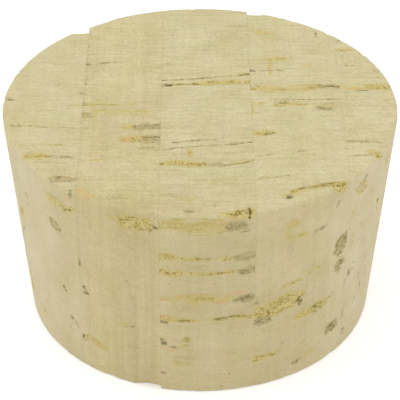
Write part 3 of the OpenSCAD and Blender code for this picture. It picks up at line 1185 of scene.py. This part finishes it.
def new_group(label, inputs, outputs):
    """An empty node group with these sockets, and its input and output nodes."""
    group = bpy.data.node_groups.new(label, "ShaderNodeTree")
    for way, rows in (("INPUT", inputs), ("OUTPUT", outputs)):
        for socket, kind in rows:
            group.interface.new_socket(socket, in_out=way, socket_type="NodeSocket" + kind)
    return group, group.nodes.new("NodeGroupInput"), group.nodes.new("NodeGroupOutput")


# %% [markdown]
# ### Tissue
# Sanded cork is a pale straw colour. It has soft clouds, growth bands that are layers of equal x, hairlines
# that run along x with the channels, a fine grain and a few dark specks. All of them are noise in the
# piece's own coordinates, stretched differently, so that they carry on from the top over the rim to the
# side as they do in a solid block.

# %% Cork tissue group
NOISES = {
    "clouds": dict(scale=(150, 150, 150), detail=3),
    "bands": dict(scale=(700, 26, 16), detail=5, roughness=0.72),
    "hairlines": dict(scale=(170, 1350, 1350), detail=3, roughness=0.6),
    "grain": dict(scale=(3000, 3000, 3000), detail=2),
    "dashes": dict(scale=(150, 1000, 1000), detail=2),
    "blush": dict(scale=(110, 210, 190), detail=2),
}
ON_FACE_AND_SIDE = {"bands": (0.7, 1.0), "hairlines": (1.0, 0.45), "grain": (1.0, 0.6)}
DASH_CUT = (0.10, 0.24)
DASH_SHADE = -0.08
DARKENING_SHADE = -0.05
DARKENING_WARMTH = -0.02
BLUSH_SHADE = -0.10
CLOUD_BLUE = 0.30
HAIRLINE_BLUE = 0.20
HAIRLINE_HEIGHT = 0.5
SPECKS_PER_METRE = 420
SPECK_LARGEST = 0.11
SPECK_EDGE = 0.05
SPECK_SHADE = -0.28

tissue, given, result = new_group(
    "cork_tissue",
    [("Face Tone", "Color"), ("Shaded Side Tone", "Color"), ("Side Sheen Tone", "Color"),
     ("Clouds", "Float"), ("Bands", "Float"), ("Hairlines", "Float"), ("Grain", "Float")],
    [("Color", "Color"), ("Height", "Float")],
)
noise = {label: stretched_noise(tissue, **look) for label, look in NOISES.items()}
turned = attribute(tissue, "turned")
for label, (on_face, on_side) in ON_FACE_AND_SIDE.items():
    share = weighed(tissue, on_face, (turned, on_side - on_face))
    noise[label] = sums(tissue, "MULTIPLY", noise[label], share)
dashes = soft_edge(tissue, noise["dashes"], *DASH_CUT)
# Darker on the top near the front-left rim and in broad patches, negative where a patch is paler.
darkening = attribute(tissue, "darkening")
darker = sums(tissue, "MAXIMUM", turned, darkening)
# On the side the face tone gives way to a darker, warmer copy of it: painted shade. The darkening near the
# front-left rim uses the same copy.
tone = blend(tissue, darker, given.outputs["Face Tone"], given.outputs["Shaded Side Tone"])
# Paler where the side faces left or right: a painted sheen.
tone = blend(tissue, attribute(tissue, "side_sheen"), tone, given.outputs["Side Sheen Tone"])
looks = [(noise[label.lower()], given.outputs[label]) for label in ("Clouds", "Bands", "Hairlines", "Grain")]
shade = weighed(tissue, 1.0, *looks, (dashes, DASH_SHADE), (darkening, DARKENING_SHADE))
green = weighed(tissue, 1.0, (noise["blush"], BLUSH_SHADE))
blue = weighed(tissue, 1.0, (noise["hairlines"], HAIRLINE_BLUE), (noise["clouds"], CLOUD_BLUE))
blue = weighed(tissue, blue, (darkening, DARKENING_WARMTH), (dashes, DASH_SHADE))
warmth = add(tissue, "CombineColor", Red=1.0, Green=green, Blue=blue)
cells = crumb_cells(tissue, SPECKS_PER_METRE)
speck_size = add(tissue, "SeparateColor", Color=cells["Color"]).outputs[0]
speck_reach = sums(tissue, "MULTIPLY", speck_size, SPECK_LARGEST)
speck = soft_edge(tissue, sums(tissue, "SUBTRACT", speck_reach, cells["Distance"]), 0.0, SPECK_EDGE)
shade = sums(tissue, "MULTIPLY", shade, weighed(tissue, 1.0, (speck, SPECK_SHADE)))
coloured = blend(tissue, 1.0, tone, warmth.outputs[0], "MULTIPLY")
lit = add(tissue, "VectorMath", {"operation": "SCALE"}, Vector=coloured, Scale=shade)
feed(tissue, result.inputs["Color"], lit.outputs[0])
height = weighed(tissue, noise["grain"], (noise["hairlines"], HAIRLINE_HEIGHT), (speck, -1.0))
feed(tissue, result.inputs["Height"], height)
print("tissue group has", len(tissue.nodes), "nodes")

# %% [markdown]
# ### Pore filling
# The crumbs in a pore are cells of a Voronoi texture: bright ochre in the middle of a crumb and brown
# between crumbs. Each mask is the mark's own field plus noise, cut with a soft edge, so that faint marks
# break up into flecks and strong ones fill in.

# %% Pore filling group
EDGE = dict(scale=(1400, 1400, 1400), detail=3, roughness=0.6)
EDGE_BREAK = 1.6
FIBRE = dict(scale=(330, 1900, 1900), detail=3, roughness=0.6)
FIBRE_BREAK = 2.0
FIBRE_CUT = (0.0, 0.5)
FIBRE_SHARE = 0.5
CRUMBS_PER_METRE = 2500
CRUMB_BREAK = 0.28
LOOSE_CUT = (0.5, 0.9)
GAP_CUT = (0.5, 0.85)
BRIGHT_CUT = (0.15, 0.5)
GREY_CUT = (0.4, 0.9)
MASK_FULL = {"ochre": 0.80, "rust": 1.10, "grey": 0.90, "dark": 1.10}
OCHRE_BRIGHT = screen(222, 204, 145)
OCHRE_MIDDLE = screen(210, 192, 124)
OCHRE_GAP = screen(166, 144, 78)
GREY_BRIGHT = screen(189, 175, 127)
GREY_GAP = screen(159, 144, 97)
CRACK_AND_SHADE = screen(114, 99, 52)
RUST = screen(219, 184, 134)
GLUE = screen(186, 170, 122)
GLUE_HALF = 0.16
GLUE_BREAK = 0.15
GLUE_EDGE = 0.12
GLUE_ON_FACE = 0.22
GLUE_ON_SIDE = 0.12

filling, given, result = new_group(
    "pore_filling",
    [("Tissue", "Color")],
    [("Color", "Color"), ("Height", "Float")],
)
fibres = sums(filling, "MULTIPLY", stretched_noise(filling, **FIBRE), FIBRE_BREAK)
rough_edge = weighed(filling, fibres, (stretched_noise(filling, **EDGE), EDGE_BREAK))
crumb = weighed(filling, crumb_cells(filling, CRUMBS_PER_METRE)["Distance"], (rough_edge, CRUMB_BREAK))
loose = soft_edge(filling, attribute(filling, "ochre"), *LOOSE_CUT)
gap = sums(filling, "MULTIPLY", soft_edge(filling, crumb, *GAP_CUT), loose)
bright = sums(filling, "SUBTRACT", 1.0, soft_edge(filling, crumb, *BRIGHT_CUT))
ochre = blend(filling, sums(filling, "MULTIPLY", bright, loose), OCHRE_MIDDLE, OCHRE_BRIGHT)
ochre = blend(filling, gap, ochre, OCHRE_GAP)
brown_fibre = sums(filling, "MULTIPLY", soft_edge(filling, fibres, *FIBRE_CUT), FIBRE_SHARE)
ochre = blend(filling, brown_fibre, ochre, OCHRE_GAP)
grey = blend(filling, soft_edge(filling, crumb, *GREY_CUT), GREY_BRIGHT, GREY_GAP)
glue_line = sums(filling, "SUBTRACT", GLUE_HALF, attribute(filling, "glue"))
glue_line = soft_edge(filling, weighed(filling, glue_line, (rough_edge, GLUE_BREAK)), 0.0, GLUE_EDGE)
glue_seen = weighed(filling, GLUE_ON_FACE, (attribute(filling, "turned"), GLUE_ON_SIDE - GLUE_ON_FACE))
colour = blend(filling, sums(filling, "MULTIPLY", glue_line, glue_seen), given.outputs["Tissue"], GLUE)
masks = {}
for kind, inside in (("ochre", ochre), ("rust", RUST), ("grey", grey), ("dark", CRACK_AND_SHADE)):
    broken = sums(filling, "ADD", attribute(filling, kind), rough_edge)
    masks[kind] = soft_edge(filling, broken, 0.0, MASK_FULL[kind])
    colour = blend(filling, masks[kind], colour, inside)
feed(filling, result.inputs["Color"], colour)
pits = sums(filling, "MULTIPLY", gap, sums(filling, "MAXIMUM", masks["ochre"], masks["grey"]))
feed(filling, result.inputs["Height"], sums(filling, "MULTIPLY", pits, -1.0))
print("filling group has", len(filling.nodes), "nodes")

# %% [markdown]
# ### Five materials
# Each strip sets its own tones and how strongly its bands and hairlines show. Cork is matt: a rough surface
# with little shine.

# %% Cork materials
FACE = screen(214, 202, 157)
# A darker, warmer copy of the face tone for the turned side: painted shade.
SHADED_SIDE_TONE = screen(211, 196, 151)
# A paler tone for where the side faces left or right: a painted sheen.
SIDE_SHEEN = screen(218, 205, 168)
# For two strips, the face tone and their own darker painted-shade tone for the side.
STRIP_TONES = {
    "left_strip": (screen(212, 199, 152), screen(209, 193, 146)),
    "centre_strip": (screen(212, 200, 155), screen(213, 198, 153)),
}
ROUGHNESS = 0.85
SHINE = 0.2
BUMP_DEPTH = 0.00012
BUMP_STRENGTH = 0.35
PIT_HEIGHT = 0.8
STRIP_LOOKS = {
    "left_end_strip": dict(Clouds=0.20, Bands=0.20, Hairlines=0.22, Grain=0.44),
    "left_strip": dict(Clouds=0.24, Bands=0.46, Hairlines=0.32, Grain=0.52),
    "centre_strip": dict(Clouds=0.26, Bands=0.18, Hairlines=0.40, Grain=0.48),
    "right_strip": dict(Clouds=0.24, Bands=0.20, Hairlines=0.28, Grain=0.46),
    "right_end_strip": dict(Clouds=0.20, Bands=0.20, Hairlines=0.36, Grain=0.54),
}


def cork_material(name):
    """The strip's cork: tissue, then pore filling, then a matt shader with a fine bump."""
    material = bpy.data.materials.new(name + "_cork")
    material.use_nodes = True
    tree = material.node_tree
    shader = tree.nodes["Principled BSDF"]
    shader.inputs["Roughness"].default_value = ROUGHNESS
    shader.inputs["Specular IOR Level"].default_value = SHINE
    base = add(tree, "Group", {"node_tree": tissue})
    face, shaded_side_tone = STRIP_TONES.get(name, (FACE, SHADED_SIDE_TONE))
    for label, value in (("Face Tone", face), ("Shaded Side Tone", shaded_side_tone), ("Side Sheen Tone", SIDE_SHEEN)):
        base.inputs[label].default_value = value
    for label, value in STRIP_LOOKS[name].items():
        base.inputs[label].default_value = value
    pores = add(tree, "Group", {"node_tree": filling}, Tissue=base.outputs["Color"])
    tree.links.new(pores.outputs["Color"], shader.inputs["Base Color"])
    bumps = weighed(tree, base.outputs["Height"], (pores.outputs["Height"], PIT_HEIGHT))
    bump = add(tree, "Bump", Height=bumps, Strength=BUMP_STRENGTH, Distance=BUMP_DEPTH)
    tree.links.new(bump.outputs[0], shader.inputs["Normal"])
    return material


for name in STRIPS:
    piece = pieces[name]
    piece.data.materials.append(cork_material(name))
    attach(piece, "root")
    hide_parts(name)
print("dressed:", [piece.name for piece in pieces.values()])

# %% [markdown]
# ## Floor and light
# The stopper stands on a plain white floor in soft light from all round, as in a light tent. A pale sky
# does most of the work. Large lamps above, in front and at both sides shape the form gently. The floor
# adds a little white of its own for the camera alone, so that it reads as white and still keeps the shadow.

# %% Floor
FLOOR_HALF = 3.0
FLOOR_DROP = 0.00005
FLOOR_WHITE = 0.82
FLOOR_LIFT = 0.42

corners = np.array([(-1, -1, 0), (1, -1, 0), (1, 1, 0), (-1, 1, 0)]) * FLOOR_HALF
corners[:, 2] = -FLOOR_DROP
floor_mesh = bpy.data.meshes.new("floor")
floor_mesh.from_pydata(corners, [], [(0, 1, 2, 3)])
floor = bpy.data.objects.new("floor", floor_mesh)
bpy.context.scene.collection.objects.link(floor)
floor_paint = bpy.data.materials.new("white_floor")
floor_paint.use_nodes = True
tree = floor_paint.node_tree
tree.nodes.remove(tree.nodes["Principled BSDF"])
paint = add(tree, "BsdfDiffuse", Color=(FLOOR_WHITE, FLOOR_WHITE, FLOOR_WHITE, 1.0))


def seen_directly(tree):
    """1 for a ray that the camera sees directly, in a reflection or through glass."""
    path = add(tree, "LightPath").outputs
    both = sums(tree, "MAXIMUM", path["Is Camera Ray"], path["Is Glossy Ray"])
    return sums(tree, "MAXIMUM", both, path["Is Transmission Ray"])


glow = add(tree, "Emission", Strength=sums(tree, "MULTIPLY", seen_directly(tree), FLOOR_LIFT))
both = add(tree, "AddShader")
tree.links.new(paint.outputs[0], both.inputs[0])
tree.links.new(glow.outputs[0], both.inputs[1])
tree.links.new(both.outputs[0], tree.nodes["Material Output"].inputs[0])
floor_mesh.materials.append(floor_paint)

# %% Sky and lamps
SKY = 0.67
LAMPS = {
    "lamp_above": dict(place=(-0.15, 0.05, 0.90), size=0.9, power=1.6),
    "lamp_front": dict(place=(0.0, -0.95, 0.40), size=0.8, power=0.95),
    "lamp_left": dict(place=(-0.85, -0.15, 0.40), size=0.7, power=1.5),
    "lamp_right": dict(place=(0.85, -0.15, 0.40), size=0.7, power=1.5),
}
LAMP_AIM = np.array([0.0, 0.0, 0.019])

world = bpy.data.worlds.new("light_tent")
bpy.context.scene.world = world
world.use_nodes = True
tree = world.node_tree
sky = tree.nodes["Background"]
sky.inputs["Color"].default_value = (1.0, 1.0, 1.0, 1.0)
feed(tree, sky.inputs["Strength"], weighed(tree, SKY, (seen_directly(tree), 1.0 - SKY)))


def look_at(thing, place, aim):
    """Puts a lamp or camera at a place with its -Z axis towards the aim and no roll."""
    away = np.array(place) - np.array(aim)
    tilt = math.atan2(math.hypot(away[0], away[1]), away[2])
    turn = math.atan2(away[0], -away[1])
    thing.location = place
    thing.rotation_euler = (tilt, 0.0, turn)


for label, lamp in LAMPS.items():
    light = bpy.data.lights.new(label, "AREA")
    light.size = lamp["size"]
    light.energy = lamp["power"]
    holder = bpy.data.objects.new(label, light)
    bpy.context.scene.collection.objects.link(holder)
    look_at(holder, lamp["place"], LAMP_AIM)
print("lamps:", list(LAMPS))

# %% [markdown]
# ## Camera
# A long lens from a third of a metre, a little over thirty degrees above the table, so that the top face is
# seen whole and the side in front keeps its height.

# %% Camera
ELEVATION = math.radians(34.37)
AZIMUTH = math.radians(-0.22)
DISTANCE = 0.340
AIM = np.array([0.0, 0.0, 0.0186])
LENS = 174.3
SENSOR = 36.0
NEAREST = 0.01

lens = bpy.data.cameras.new("camera")
lens.sensor_width = SENSOR
lens.lens = LENS
lens.clip_start = NEAREST
camera = bpy.data.objects.new("camera", lens)
bpy.context.scene.collection.objects.link(camera)
level = math.cos(ELEVATION)
back = np.array([math.sin(AZIMUTH) * level, -math.cos(AZIMUTH) * level, math.sin(ELEVATION)])
look_at(camera, AIM + back * DISTANCE, AIM)
bpy.context.scene.camera = camera
bpy.context.scene.view_settings.view_transform = "Standard"
print("camera at", camera.location[:])
